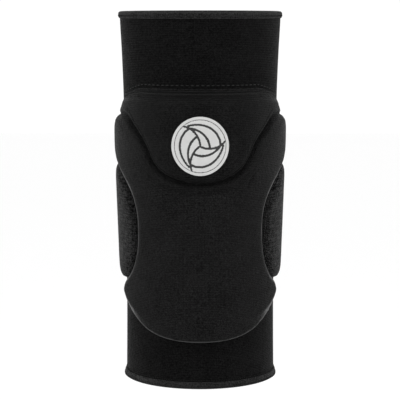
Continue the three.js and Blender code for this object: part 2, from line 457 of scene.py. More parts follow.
@dataclass(frozen=True)
class ThreadFinish:
    """Sewing or embroidery thread.

    Attributes:
        name: the material's name.
        tone: the thread's grey.
        sheen: how strong its sheen is.
        roughness: its least roughness.
        roughness_spread: how much rougher it is in patches.
        specular: how strong the gloss is.
        fibres: how many fibres there are in a metre.
        fibre_relief: how high they stand.
        patches: how many worn patches there are in a metre.
        darkest: the tone of the darkest place, as a share of the thread's.
        palest: the tone of the palest place, likewise.
        warmth: how many times as strong the blue is as the red.
    """

    name: str
    tone: float
    sheen: float = 0.04
    roughness: float = 0.6
    roughness_spread: float = 0.1
    specular: float = 0.04
    fibres: float = 5200.0
    fibre_relief: float = 0.12 * MM
    patches: float = 240.0
    darkest: float = 0.82
    palest: float = 1.08
    warmth: float = 0.99

    def make(self) -> bpy.types.Material:
        """Makes the material.

        Returns:
            The material, with its nodes.
        """
        material, nodes, place = start_material(self.name)
        fibres = nodes.noise(place, self.fibres, detail=3.0)
        patchy = nodes.noise(place, self.patches)
        low = grey(self.tone * self.darkest, self.warmth)
        high = grey(self.tone * self.palest, self.warmth)
        settings = {
            "Base Color": nodes.mix(fibres * 0.5 + patchy * 0.5, low, high),
            "Roughness": self.roughness + patchy * self.roughness_spread,
            "Normal": nodes.bump(fibres, strength=0.6, distance=self.fibre_relief),
            "Sheen Weight": self.sheen,
            "Specular IOR Level": self.specular,
        }
        set_shader(material, settings)
        return material


@dataclass(frozen=True)
class PlainFinish:
    """The studio's paper floor, with a faint tooth.

    Attributes:
        name: the material's name.
        tone: the paper's grey.
        tooth: how many grains there are in a metre.
        darkest: the tone of the darkest grain, as a share of the paper's.
        roughness: the paper's roughness.
    """

    name: str
    tone: float
    tooth: float = 90.0
    darkest: float = 0.99
    roughness: float = 0.9

    def make(self) -> bpy.types.Material:
        """Makes the material.

        Returns:
            The material, with its nodes.
        """
        material, nodes, place = start_material(self.name)
        grains = nodes.noise(place, self.tooth)
        colour = nodes.mix(grains, grey(self.tone * self.darkest), grey(self.tone))
        set_shader(material, {"Base Color": colour, "Roughness": self.roughness})
        return material


# Meshes


def linked(name: str, mesh: bpy.types.Mesh) -> bpy.types.Object:
    """Makes an object of a mesh and links it to the scene.

    Args:
        name: the object's name.
        mesh: the mesh.

    Returns:
        The object.
    """
    made = bpy.data.objects.new(name, mesh)
    bpy.context.scene.collection.objects.link(made)
    return made


def mesh_object(
    name: str,
    points: Sequence[Sequence[float]],
    faces: Sequence[Sequence[int]],
    edges: Sequence[tuple[int, int]] = (),
) -> bpy.types.Object:
    """Makes an object of a list of points with faces or edges.

    Args:
        name: the object's name.
        points: the corners, in metres.
        faces: the corners' numbers for each face.
        edges: the corners' numbers for each edge, where there are no faces.

    Returns:
        The object, linked to the scene.
    """
    mesh = bpy.data.meshes.new(name)
    mesh.from_pydata([tuple(p) for p in points], edges, [tuple(f) for f in faces])
    return linked(name, mesh)


def ring_faces(here: int, there: int, count: int) -> list[tuple[int, int, int, int]]:
    """Gives the faces between two closed rings of corners.

    Args:
        here: the number of the first ring's first corner.
        there: the number of the second ring's first corner.
        count: how many corners each ring has.

    Returns:
        The corners' numbers for each face.
    """
    pairs = [(j, (j + 1) % count) for j in range(count)]
    return [(here + j, there + j, there + after, here + after) for j, after in pairs]


def tidy_mesh(made: bpy.types.Object) -> bpy.types.Object:
    """Merges doubles, turns the faces outwards and shades them smooth.

    Args:
        made: the object, whose mesh is changed.

    Returns:
        The same object.
    """
    work = bmesh.new()
    work.from_mesh(made.data)
    bmesh.ops.remove_doubles(work, verts=work.verts, dist=MERGE_DISTANCE)
    bmesh.ops.recalc_face_normals(work, faces=work.faces)
    work.to_mesh(made.data)
    work.free()
    for polygon in made.data.polygons:
        polygon.use_smooth = True
    return made


def node_copy(name: str, node: str) -> bpy.types.Object:
    """Copies a node of the frame into a new object with merged corners.

    Args:
        name: the new object's name.
        node: the node's name.

    Returns:
        The copy.
    """
    made = linked(name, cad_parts[node].data.copy())
    made.data.materials.clear()
    return tidy_mesh(made)


def apply_modifiers(made: bpy.types.Object) -> None:
    """Makes the result of an object's modifiers its own mesh.

    Args:
        made: the object, which loses its modifiers.
    """
    graph = bpy.context.evaluated_depsgraph_get()
    graph.update()
    result = bpy.data.meshes.new_from_object(made.evaluated_get(graph))
    made.modifiers.clear()
    made.data = result
    for polygon in made.data.polygons:
        polygon.use_smooth = True


def vertex_rows(mesh: bpy.types.Mesh, name: str) -> np.ndarray:
    """Reads a property of a mesh's vertices.

    Args:
        mesh: the mesh.
        name: the property, of three numbers.

    Returns:
        A row for each vertex.
    """
    flat = np.empty(len(mesh.vertices) * 3)
    mesh.vertices.foreach_get(name, flat)
    return flat.reshape(-1, 3)


def vertex_places(mesh: bpy.types.Mesh) -> np.ndarray:
    """Gives the places of a mesh's vertices as rows."""
    return vertex_rows(mesh, "co")


def set_vertex_places(mesh: bpy.types.Mesh, places: np.ndarray) -> None:
    """Moves a mesh's vertices to the rows of an array."""
    mesh.vertices.foreach_set("co", places.ravel())
    mesh.update()


def surface_tree(made: bpy.types.Object) -> BVHTree:
    """Gives the search tree of an object's surface."""
    places = vertex_places(made.data)
    return BVHTree.FromPolygons(places.tolist(), [tuple(p.vertices) for p in made.data.polygons])


def finish_piece(
    made: bpy.types.Object, material: bpy.types.Material, slot: str, *nodes: str
) -> bpy.types.Object:
    """Gives a piece its material and body.

    Args:
        made: the piece.
        material: its material.
        slot: the record's material slot; not used.
        nodes: the frame's nodes that it replaces.

    Returns:
        The piece.
    """
    made.data.materials.clear()
    made.data.materials.append(material)
    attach(made, BODY)
    if nodes:
        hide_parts(*nodes)
    log.info("%s: %d vertices", made.name, len(made.data.vertices))
    return made


# The leg


def turn_of(places: np.ndarray) -> np.ndarray:
    """Gives the turns round the leg of the rows of an array, 0 in front."""
    return np.arctan2(places[:, 0], -places[:, 1])


class LegForm:
    """The smooth form of the sleeve's outer face, read from the rings of corners of the sleeve's node.

    Attributes:
        heights: the heights of the rings, from the lowest.
        waves: for each ring, how strong each cosine of the turn round the leg is in its radius.
    """

    WAVES = 9
    SAME_TURN = 0.01
    REACH = 50 * MM

    def __init__(self) -> None:
        """Reads the rings of the sleeve's node."""
        places = np.unique(vertex_places(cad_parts["sleeve"].data).round(6), axis=0)
        self.heights = np.unique(places[:, 2])
        turns, radii = turn_of(places), np.hypot(places[:, 0], places[:, 1])
        rows = []
        for height in self.heights:
            at_height = places[:, 2] == height
            ring_turns, ring_radii = turns[at_height], radii[at_height]
            outer = [ring_radii[abs(ring_turns - t) < self.SAME_TURN].max() for t in ring_turns]
            cosines = np.cos(np.outer(ring_turns, np.arange(self.WAVES)))
            rows.append(np.linalg.lstsq(cosines, np.array(outer), rcond=None)[0])
        self.waves = np.array(rows)

    def radius(self, turns: np.ndarray, heights: np.ndarray) -> np.ndarray:
        """Gives the sleeve's outer radius.

        Args:
            turns: turns round the leg in radians, 0 in front.
            heights: as many heights.

        Returns:
            As many radii.
        """
        last = len(self.heights) - 1
        share = np.interp(heights, self.heights, np.arange(last + 1))
        row = np.clip(share.astype(int), 0, last - 1)
        part = (share - row)[..., None]
        before, start, end, after = (
            self.waves[np.clip(row + step, 0, last)] for step in (-1, 0, 1, 2)
        )
        bend = (end - before) / 2
        exit_bend = (after - start) / 2
        square, cube = part**2, part**3
        waves = (
            (2 * cube - 3 * square + 1) * start
            + (cube - 2 * square + part) * bend
            + (3 * square - 2 * cube) * end
            + (cube - square) * exit_bend
        )
        cosines = np.cos(turns[..., None] * np.arange(self.WAVES))
        return (waves * cosines).sum(-1)

    def places(self, turns: Any, heights: Any, outs: Any) -> np.ndarray:
        """Gives points on or over the sleeve.

        Args:
            turns: turns round the leg in radians, 0 in front.
            heights: heights.
            outs: distances out from the sleeve's outer face.

        Returns:
            The points as rows.
        """
        turns, heights, outs = np.broadcast_arrays(turns, heights, outs)
        radii = self.radius(turns, heights) + outs
        return np.stack([radii * np.sin(turns), -radii * np.cos(turns), heights], -1)

    def stand(self, places: np.ndarray) -> np.ndarray:
        """Gives how far each row of an array of points is out from the sleeve."""
        return np.hypot(places[:, 0], places[:, 1]) - self.radius(turn_of(places), places[:, 2])

    def outs(self, tree: BVHTree, turns: np.ndarray, heights: np.ndarray) -> np.ndarray:
        """Gives how far a surface stands out from the sleeve, or 0 beside it.

        Args:
            tree: the surface.
            turns: turns round the leg in radians, 0 in front.
            heights: as many heights.

        Returns:
            As many distances.
        """
        radii = self.radius(turns, heights)
        found = np.zeros(radii.shape)
        far = self.places(turns, heights, self.REACH)
        for index in np.ndindex(radii.shape):
            start = Vector(far[index])
            inwards = Vector((-start.x, -start.y, 0)).normalized()
            hit = tree.ray_cast(start, inwards, self.REACH)[0]
            if hit is not None:
                found[index] = math.hypot(hit.x, hit.y) - radii[index]
        return found

    def ring(self, name: str, section: Sequence[tuple[float, float]], steps: int) -> bpy.types.Object:
        """Makes a closed ring round the leg.

        Args:
            name: the object's name.
            section: its section, as a closed list of distances out and heights.
            steps: how many sections there are round the leg.

        Returns:
            The ring.
        """
        turns = np.arange(steps) * math.tau / steps
        outs, heights = np.array(section).T
        points = self.places(turns[:, None], heights[None, :], outs[None, :]).reshape(-1, 3)
        count = len(section)
        faces = []
        for i in range(steps):
            faces.extend(ring_faces(i * count, (i + 1) % steps * count, count))
        return tidy_mesh(mesh_object(name, points, faces))

    def path(self, name: str, turns: np.ndarray, heights: Any, outs: Any) -> bpy.types.Object:
        """Makes a line of edges round the leg.

        Args:
            name: the object's name.
            turns: the turns of its points.
            heights: its height, or the heights of its points.
            outs: how far it, or each of its points, is out from the sleeve.

        Returns:
            An object that holds only edges.
        """
        points = self.places(turns, heights, outs)
        edges = [(i, i + 1) for i in range(len(points) - 1)]
        return mesh_object(name, points, [], edges)


# Geometry Nodes


@dataclass(frozen=True)
class StitchNodes:
    """Lays the same stitch again and again along a line, facing out from the leg.

    Attributes:
        spacing: the distance from one stitch to the next.
        length: a stitch's length.
        thickness: its thickness.
        lean: how far it is turned from the line, in radians.
        segments: how many faces there are round it.
        rings: how many faces there are along it.
    """

    spacing: float
    length: float
    thickness: float
    lean: float
    segments: int = 6
    rings: int = 5

    def tree(self, material: bpy.types.Material) -> bpy.types.NodeTree:
        """Builds the node tree.

        Args:
            material: the stitches' material.

        Returns:
            The tree, with named inputs for its sizes.
        """
        tree = bpy.data.node_groups.new("stitches", "GeometryNodeTree")
        face = tree.interface
        face.new_socket("Line", in_out="INPUT", socket_type="NodeSocketGeometry")
        for name in ("Spacing", "Length", "Thickness", "Lean"):
            face.new_socket(name, in_out="INPUT", socket_type="NodeSocketFloat")
        face.new_socket("Stitches", in_out="OUTPUT", socket_type="NodeSocketGeometry")
        nodes = NodeMaker(tree)
        line = nodes.add("NodeGroupInput", {}, {}, "Line")
        spacing, length, thickness, lean = (
            Wire(nodes, line.socket.node.outputs[name])
            for name in ("Spacing", "Length", "Thickness", "Lean")
        )
        curve = nodes.add("GeometryNodeMeshToCurve", {}, {"Mesh": line})
        points = nodes.add(
            "GeometryNodeResampleCurve", {"mode": "LENGTH"}, {"Curve": curve, "Length": spacing}
        )
        place = nodes.add("GeometryNodeInputPosition", {}, {})
        along = nodes.add("GeometryNodeInputTangent", {}, {})
        flat = nodes.add(
            "ShaderNodeVectorMath", {"operation": "MULTIPLY"}, [place, (1.0, 1.0, 0.0)]
        )
        facing = nodes.add(
            "FunctionNodeAlignRotationToVector", {"axis": "Z"}, {"Vector": flat}
        )
        turned = nodes.add(
            "FunctionNodeAlignRotationToVector",
            {"axis": "X", "pivot_axis": "Z"},
            {"Rotation": facing, "Vector": along},
        )
        shape = {"Segments": self.segments, "Rings": self.rings, "Radius": 0.5}
        ball = nodes.add("GeometryNodeMeshUVSphere", {}, shape)
        size = nodes.add("ShaderNodeCombineXYZ", {}, [length, thickness, thickness])
        tilt = nodes.add("ShaderNodeCombineXYZ", {}, [0.0, 0.0, lean])
        stitch = nodes.add(
            "GeometryNodeTransform", {}, {"Geometry": ball, "Rotation": tilt, "Scale": size}
        )
        copies = nodes.add(
            "GeometryNodeInstanceOnPoints",
            {},
            {"Points": points, "Instance": stitch, "Rotation": turned},
        )
        nodes.end_geometry(copies, material, "Stitches")
        return tree

    def sew(self, line: bpy.types.Object, material: bpy.types.Material) -> bpy.types.Object:
        """Turns a line of edges into a row of stitches.

        Args:
            line: the object that holds the line.
            material: the stitches' material.

        Returns:
            The same object, now a plain mesh of stitches.
        """
        sizes = {
            "Spacing": self.spacing,
            "Length": self.length,
            "Thickness": self.thickness,
            "Lean": self.lean,
        }
        return run_nodes(line, self.tree(material), sizes)


@dataclass(frozen=True)
class ThreadNodes:
    """Makes each line of a drawing a round thread.

    Attributes:
        thickness: the thread's thickness.
        sides: how many faces there are round it.
    """

    thickness: float
    sides: int = 6

    def tree(self, material: bpy.types.Material) -> bpy.types.NodeTree:
        """Builds the node tree.

        Args:
            material: the threads' material.

        Returns:
            The tree, with a named input for its size.
        """
        tree = bpy.data.node_groups.new("threads", "GeometryNodeTree")
        face = tree.interface
        face.new_socket("Lines", in_out="INPUT", socket_type="NodeSocketGeometry")
        face.new_socket("Thickness", in_out="INPUT", socket_type="NodeSocketFloat")
        face.new_socket("Threads", in_out="OUTPUT", socket_type="NodeSocketGeometry")
        nodes = NodeMaker(tree)
        lines = nodes.add("NodeGroupInput", {}, {}, "Lines")
        thickness = Wire(nodes, lines.socket.node.outputs["Thickness"])
        curves = nodes.add("GeometryNodeMeshToCurve", {}, {"Mesh": lines})
        section = nodes.add(
            "GeometryNodeCurvePrimitiveCircle",
            {},
            {"Resolution": self.sides, "Radius": thickness * 0.5},
        )
        tubes = nodes.add(
            "GeometryNodeCurveToMesh",
            {},
            {"Curve": curves, "Profile Curve": section, "Fill Caps": True},
        )
        nodes.end_geometry(tubes, material, "Threads")
        return tree

    def spin(self, lines: bpy.types.Object, material: bpy.types.Material) -> bpy.types.Object:
        """Turns lines of edges into threads.

        Args:
            lines: the object that holds the lines.
            material: the threads' material.

        Returns:
            The same object, now a plain mesh of threads.
        """
        return run_nodes(lines, self.tree(material), {"Thickness": self.thickness})


def run_nodes(
    made: bpy.types.Object, tree: bpy.types.NodeTree, sizes: dict[str, float]
) -> bpy.types.Object:
    """Runs a geometry node tree on an object and makes the result its own mesh.

    Args:
        made: the object.
        tree: the node tree.
        sizes: the values of the tree's named inputs.

    Returns:
        The object.
    """
    modifier = made.modifiers.new(tree.name, "NODES")
    modifier.node_group = tree
    sockets = {item.name: item.identifier for item in tree.interface.items_tree}
    for name, value in sizes.items():
        modifier[sockets[name]] = value
    apply_modifiers(made)
    return made


# The pieces


def node_heights(node: str) -> tuple[float, float]:
    """Gives the lowest and the highest point of a node of the frame."""
    heights = vertex_places(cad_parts[node].data)[:, 2]
    return float(heights.min()), float(heights.max())


# The ends of the seam strip, and of the stitches along it, bend down to the upper pad's corners.
STRIP_BEND_TURN = math.radians(46)
STRIP_BEND_WIDTH = math.radians(30)
STRIP_BEND_DROP = 5.0 * MM


def strip_drop(turns: np.ndarray) -> np.ndarray:
    """Gives how far the seam strip is bent down at each turn."""
    share = ramp(abs(turns), STRIP_BEND_TURN, STRIP_BEND_WIDTH)
    return STRIP_BEND_DROP * share**2 * (3 - 2 * share)


@dataclass
class Sleeve:
    """The knitted tube that carries the pads.

    Attributes:
        leg: the form that it follows.
        wall: its thickness.
        columns: how many faces there are round it.
        rows: how many faces there are up it.
    """

    leg: LegForm
    wall: float = 1.3 * MM
    columns: int = 300
    rows: int = 100

    def build(self) -> bpy.types.Object:
        """Makes the tube, between the folds of the two hems.

        Returns:
            The tube.
        """
        low, high = node_heights("sleeve")
        heights = np.linspace(low, high, self.rows + 1)
        outer = [(0.0, height) for height in heights]
        inner = [(-self.wall, height) for height in reversed(heights)]
        return self.leg.ring("sleeve_cloth", outer + inner, self.columns)

    def dress(self, made: bpy.types.Object, material: bpy.types.Material) -> bpy.types.Object:
        """Gives the tube its cloth."""
        return finish_piece(made, material, "sleeve_knit", "sleeve")


@dataclass
class Hem:
    """One end of the sleeve, where a ribbed band is folded over the edge and sewn down.

    Attributes:
        leg: the form that it follows.
        end: which end of the sleeve it is on.
        node: the frame's node that it replaces.
        wall: the thickness of the band.
        ribs: how many ribs there are round it.
        middle: how far out the middle of the sleeve's wall is.
        slot: half the width of the slot that the sleeve's edge goes into.
        fold: how far from the edge the fold begins.
        taper: how much of the wall is gone where the band is sewn down.
        rows: how many corners there are down each face.
        fold_steps: how many steps there are over the fold.
        rib_relief: how high the ribs stand.
        rib_steps: how many faces there are across a rib and its gap.
        rib_depth: how far out the ribs have their full height.
    """

    leg: LegForm
    end: End
    node: str
    wall: float
    ribs: int
    middle: float = -1.0 * MM
    slot: float = 1.35 * MM
    fold: float = 1.7 * MM
    taper: float = 0.8
    rows: int = 7
    fold_steps: int = 12
    rib_relief: float = 0.16 * MM
    rib_steps: int = 4
    rib_depth: float = 0.3 * MM

    def section(self) -> list[tuple[float, float]]:
        """Gives the band's section, which is drawn over the fold and then round the slot.

        Returns:
            A closed list of distances out and heights.
        """
        low, high = node_heights(self.node)
        inward, edge = (-1, high) if self.end is End.UPPER else (1, low)
        half = self.slot + self.wall
        level = edge + inward * self.fold
        last = edge + inward * (high - low)
        outer = []
        for share in np.linspace(1, 0, self.rows):
            wall = self.wall * (1 - self.taper * share**4)
            outer.append((self.middle + self.slot + wall, level + (last - level) * share))
        arc = []
        for angle in np.linspace(0, math.pi, self.fold_steps + 1)[1:-1]:
            drop = inward * self.fold * (1 - math.sin(angle))
            arc.append((self.middle + half * math.cos(angle), edge + drop))
        inner = [(2 * self.middle - out, height) for out, height in reversed(outer)]
        slot_edge = edge + inward * self.wall
        back = [(self.middle - self.slot, last), (self.middle - self.slot, slot_edge)]
        front = [(self.middle + self.slot, slot_edge), (self.middle + self.slot, last)]
        return outer + arc + inner + back + front

    def build(self) -> bpy.types.Object:
        """Makes the band with its ribs on the outer face.

        Returns:
            The band.
        """
        made = self.leg.ring(f"{self.node}_band", self.section(), self.ribs * self.rib_steps)
        places = vertex_places(made.data)
        turns = turn_of(places)
        facing = ramp(self.leg.stand(places), 0, self.rib_depth)
        gap = facing * self.rib_relief * (0.5 - 0.5 * np.cos(self.ribs * turns))
        places[:, 0] -= gap * np.sin(turns)
        places[:, 1] += gap * np.cos(turns)
        set_vertex_places(made.data, places)
        return made

    def dress(self, made: bpy.types.Object, material: bpy.types.Material) -> bpy.types.Object:
        """Gives the band its cloth."""
        return finish_piece(made, material, "hem_knit", self.node)


@dataclass
class StitchRow:
    """A row of stitches round the leg.

    Attributes:
        leg: the form that it follows.
        name: the piece's name.
        height: its height in front.
        out: how far out it lies.
        slot: the record's material slot.
        nodes: the stitch that it repeats.
        wrap: the turn that it covers. A row that isn't whole bends with the seam strip.
        over: the pieces that it lies on, where it doesn't lie on the sleeve.
        steps: how many points its line has.
    """

    leg: LegForm
    name: str
    height: float
    out: float
    slot: str
    nodes: StitchNodes
    wrap: float = math.tau
    over: tuple[bpy.types.Object, ...] = ()
    steps: int = 400

    def build(self, material: bpy.types.Material) -> bpy.types.Object:
        """Lays the stitches.

        Args:
            material: their thread.

        Returns:
            The row, as one piece.
        """
        turns = np.linspace(-self.wrap / 2, self.wrap / 2, self.steps)
        heights = self.height - strip_drop(turns) * (self.wrap < math.tau)
        stands = [self.leg.outs(surface_tree(cloth), turns, heights) for cloth in self.over]
        outs = np.maximum.reduce([np.zeros(len(turns)), *stands]) + self.out
        row = self.nodes.sew(self.leg.path(self.name, turns, heights, outs), material)
        return finish_piece(row, material, self.slot)


@dataclass(frozen=True)
class RimHighlight:
    """A painted highlight along the free edge of a pad: a paler band on the cover's roll, where it
    turns away from the front, in place of the nap's sheen there.

    Attributes:
        neighbour: the node of the pad beside it. There is no rim near that pad.
        below_top: how far below the pad's highest point it begins.
        top_width: how far down it grows from there.
        from_turn: the turn at which it begins, or 0 for all round.
        from_width: the turn over which it grows from there.
        to_turn: the turn at which it has ended.
        to_width: the turn over which it fades before that.
        side_turn: the turn at which the pad's front begins to be its side.
        side_width: the turn over which it does.
        front_tilt: how far the cover has turned from the leg where the rim begins, in front.
        front_width: how much further it is turned where the rim is full, in front.
        side_tilt: the same as front_tilt, at the side.
        side_tilt_width: the same as front_width, at the side.
        steep: how far the cover has turned where the rim begins to end at the side.
        steep_width: how much further it is turned where the rim has ended.
        foot: how far out from the sleeve it begins.
        foot_width: how much further out it is full.
        clear: how far from the neighbour it begins.
        clear_width: how much further from it the rim is full.
        front_tone: how strong it is in front.
        side_tone: how much stronger it is at one radian round, growing with the square.
        highlight_fade_height: the height at which the painted highlight is weakest.
        highlight_fade_reach: how far from there it is weakened.
        highlight_fade_share: how much of the highlight is gone there.
    """

    neighbour: str
    below_top: float = -2.0 * MM
    top_width: float = 8.0 * MM
    from_turn: float = 0.0
    from_width: float = 0.3
    to_turn: float = 1.42
    to_width: float = 0.25
    side_turn: float = 0.3
    side_width: float = 0.6
    front_tilt: float = 0.12
    front_width: float = 0.3
    side_tilt: float = 0.025
    side_tilt_width: float = 0.07
    steep: float = 0.25
    steep_width: float = 0.25
    foot: float = 1.0 * MM
    foot_width: float = 1.5 * MM
    clear: float = 4.0 * MM
    clear_width: float = 4.0 * MM
    front_tone: float = 0.3
    side_tone: float = 0.42
    highlight_fade_height: float = -24.0 * MM
    highlight_fade_reach: float = 17.0 * MM
    highlight_fade_share: float = 0.72

    def mark(self, made: bpy.types.Object, leg: LegForm) -> None:
        """Stores for each vertex of a cover how much painted highlight it has, from 0 to 1.

        Args:
            made: the cover.
            leg: the form that it lies on.
        """
        places = vertex_places(made.data)
        turns, heights = turn_of(places), places[:, 2]
        share = self._edge_band(places, vertex_rows(made.data, "normal"))
        share *= ramp(leg.stand(places), self.foot, self.foot_width)
        other = surface_tree(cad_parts[self.neighbour])
        away = np.array([other.find_nearest(Vector(p))[3] for p in places])
        share *= ramp(away, self.clear, self.clear_width)
        if self.from_turn:
            share *= ramp(abs(turns), self.from_turn, self.from_width)
        share *= 1 - ramp(abs(turns), self.to_turn - self.to_width, self.to_width)
        share *= self.front_tone + self.side_tone * turns**2
        share *= ramp(heights.max() - heights, self.below_top, self.top_width)
        # The painted highlight is weaker about one height of the pad.
        worn = np.exp(-(((heights - self.highlight_fade_height) / self.highlight_fade_reach) ** 2))
        share *= 1 - self.highlight_fade_share * worn
        stored = made.data.attributes.new(RIM_HIGHLIGHT, "FLOAT", "POINT")
        stored.data.foreach_set("value", share.astype(np.float32))

    def _edge_band(self, places: np.ndarray, normals: np.ndarray) -> np.ndarray:
        """Gives how far each vertex is on the band of the roll that takes the painted highlight, where
        the cover turns away from the front.

        Args:
            places: the places of the vertices.
            normals: their normals.

        Returns:
            A share for each, from 0 to 1.
        """
        turns = turn_of(places)
        outwards = np.stack([np.sin(turns), -np.cos(turns), np.zeros(len(turns))], -1)
        tilt = 1 - (normals * outwards).sum(1)
        side = ramp(abs(turns), self.side_turn, self.side_width)
        start = self.front_tilt + (self.side_tilt - self.front_tilt) * side
        width = self.front_width + (self.side_tilt_width - self.front_width) * side
        return ramp(tilt, start, width) * (1 - side * ramp(tilt, self.steep, self.steep_width))


@dataclass
class Pad:
    """A foam pad in its cloth cover, shown as the cover with the foam's swell.

    Attributes:
        leg: the form that it lies on.
        node: the frame's node that it replaces.
        rim: the painted highlight along the cover's edge, where it has one.
        voxel: the size of the even mesh's faces.
        rounding: how often the corners are rounded.
        held_under: up to how far out from the sleeve the cover is held.
        pressure: how hard the foam presses on the cover.
        cloth_mass: the mass of each vertex of the cover in kilograms.
        quality: how many steps the solver makes in a frame.
        frames: for how many frames it runs.
        most_swell: the most that the cover is blown up.
    """

    leg: LegForm
    node: str
    rim: RimHighlight | None = None
    voxel: float = 1.7 * MM
    rounding: int = 3
    held_under: float = 1.2 * MM
    pressure: float = 4.0
    cloth_mass: float = 0.2
    quality: int = 6
    frames: int = 20
    most_swell: float = 0.6 * MM

    def build(self) -> bpy.types.Object:
        """Makes the cover: an even mesh of the node, blown up a little by its filling.

        Returns:
            The cover.
        """
        made = node_copy(f"{self.node}_cover", self.node)
        remesh = made.modifiers.new("even", "REMESH")
        remesh.mode = "VOXEL"
        remesh.voxel_size = self.voxel
        apply_modifiers(made)
        form = node_copy(f"{self.node}_form", self.node)
        self._pull_to(made, surface_tree(form))
        soften = made.modifiers.new("soften", "SMOOTH")
        soften.factor = 0.5
        soften.iterations = self.rounding
        apply_modifiers(made)
        self._swell(made)
        finer = made.modifiers.new("finer", "SUBSURF")
        finer.levels = finer.render_levels = 1
        apply_modifiers(made)
        bpy.data.objects.remove(form)
        # Stores the painted highlight along the cover's edge.
        if self.rim:
            self.rim.mark(made, self.leg)
        return made

    @staticmethod
    def _pull_to(made: bpy.types.Object, form: BVHTree) -> None:
        """Moves every vertex to the nearest point of a surface."""
        places = vertex_places(made.data)
        set_vertex_places(made.data, np.array([form.find_nearest(Vector(p))[0] for p in places]))

    def _swell(self, made: bpy.types.Object) -> None:
        """Blows up the cover with the cloth solver while its underside is held.

        Args:
            made: the cover.
        """
        before = vertex_places(made.data)
        held = made.vertex_groups.new(name="held")
        under = np.flatnonzero(self.leg.stand(before) < self.held_under)
        held.add([int(i) for i in under], 1.0, "REPLACE")
        cloth = made.modifiers.new("swell", "CLOTH")
        settings = cloth.settings
        settings.quality = self.quality
        settings.mass = self.cloth_mass
        settings.use_pressure = True
        settings.uniform_pressure_force = self.pressure
        settings.vertex_group_mass = "held"
        settings.effector_weights.gravity = 0.0
        cloth.point_cache.frame_start, cloth.point_cache.frame_end = 1, self.frames
        for step in range(1, self.frames + 1):
            bpy.context.scene.frame_set(step)
            bpy.context.view_layer.update()
        apply_modifiers(made)
        bpy.context.scene.frame_set(1)
        moves = vertex_places(made.data) - before
        lengths = np.linalg.norm(moves, axis=1)
        log.info("%s: swell of %.2f mm", made.name, lengths.max() / MM)
        scale = np.minimum(1, self.most_swell / np.maximum(lengths, 1e-9))
        set_vertex_places(made.data, before + moves * scale[:, None])

    def dress(self, made: bpy.types.Object, material: bpy.types.Material) -> bpy.types.Object:
        """Gives the cover its cloth."""
        return finish_piece(made, material, "pad_cover", self.node)


@dataclass
class PocketSeam:
    """The flat strip over the upper pad that closes the pads' pocket.

    Attributes:
        leg: the form that it follows.
        wrap: the turn that it covers.
        thickness: its thickness.
        overlap: how far it reaches below its node, over the upper pad's top.
        lift: how far its underside is out from the sleeve.
        columns: how many faces there are along it.
        sides: how many corners its section has.
        flatness: the power that squares its section up and down.
        fullness: the power that squares its section outwards.
        end_share: how thick the ends are, as a share of the thickness.
        end_turn: the turn over which they are thinned.
    """

    leg: LegForm
    wrap: float = math.radians(152)
    thickness: float = 0.6 * MM
    overlap: float = 0.5 * MM
    lift: float = 0.35 * MM
    columns: int = 360
    sides: int = 20
    flatness: float = 0.5
    fullness: float = 0.6
    end_share: float = 0.45
    end_turn: float = 0.06

    def build(self) -> bpy.types.Object:
        """Makes the strip with rounded edges and thinned ends.

        Returns:
            The strip.
        """
        low, high = node_heights("pocket_seam")
        low -= self.overlap
        middle, half = (low + high) / 2, (high - low) / 2
        steps = np.linspace(0, math.tau, self.sides + 1)[:-1]
        across = np.sign(np.cos(steps)) * abs(np.cos(steps)) ** self.flatness
        outward = np.sign(np.sin(steps)) * abs(np.sin(steps)) ** self.fullness
        turns = np.linspace(-self.wrap / 2, self.wrap / 2, self.columns + 1)
        inside = ramp(self.wrap / 2 - abs(turns), 0, self.end_turn)
        thin = self.end_share + (1 - self.end_share) * inside
        outs = self.lift + self.thickness / 2 * (1 + thin[:, None] * outward[None, :])
        heights = middle + half * across[None, :] - strip_drop(turns)[:, None]
        points = self.leg.places(turns[:, None], heights, outs).reshape(-1, 3)
        last = self.columns * self.sides
        faces = [tuple(range(self.sides)), tuple(range(last, last + self.sides))]
        for here in range(0, last, self.sides):
            faces.extend(ring_faces(here, here + self.sides, self.sides))
        return tidy_mesh(mesh_object("seam_strip", points, faces))

    def dress(self, made: bpy.types.Object, material: bpy.types.Material) -> bpy.types.Object:
        """Gives the strip its cloth."""
        return finish_piece(made, material, "seam_knit", "pocket_seam")


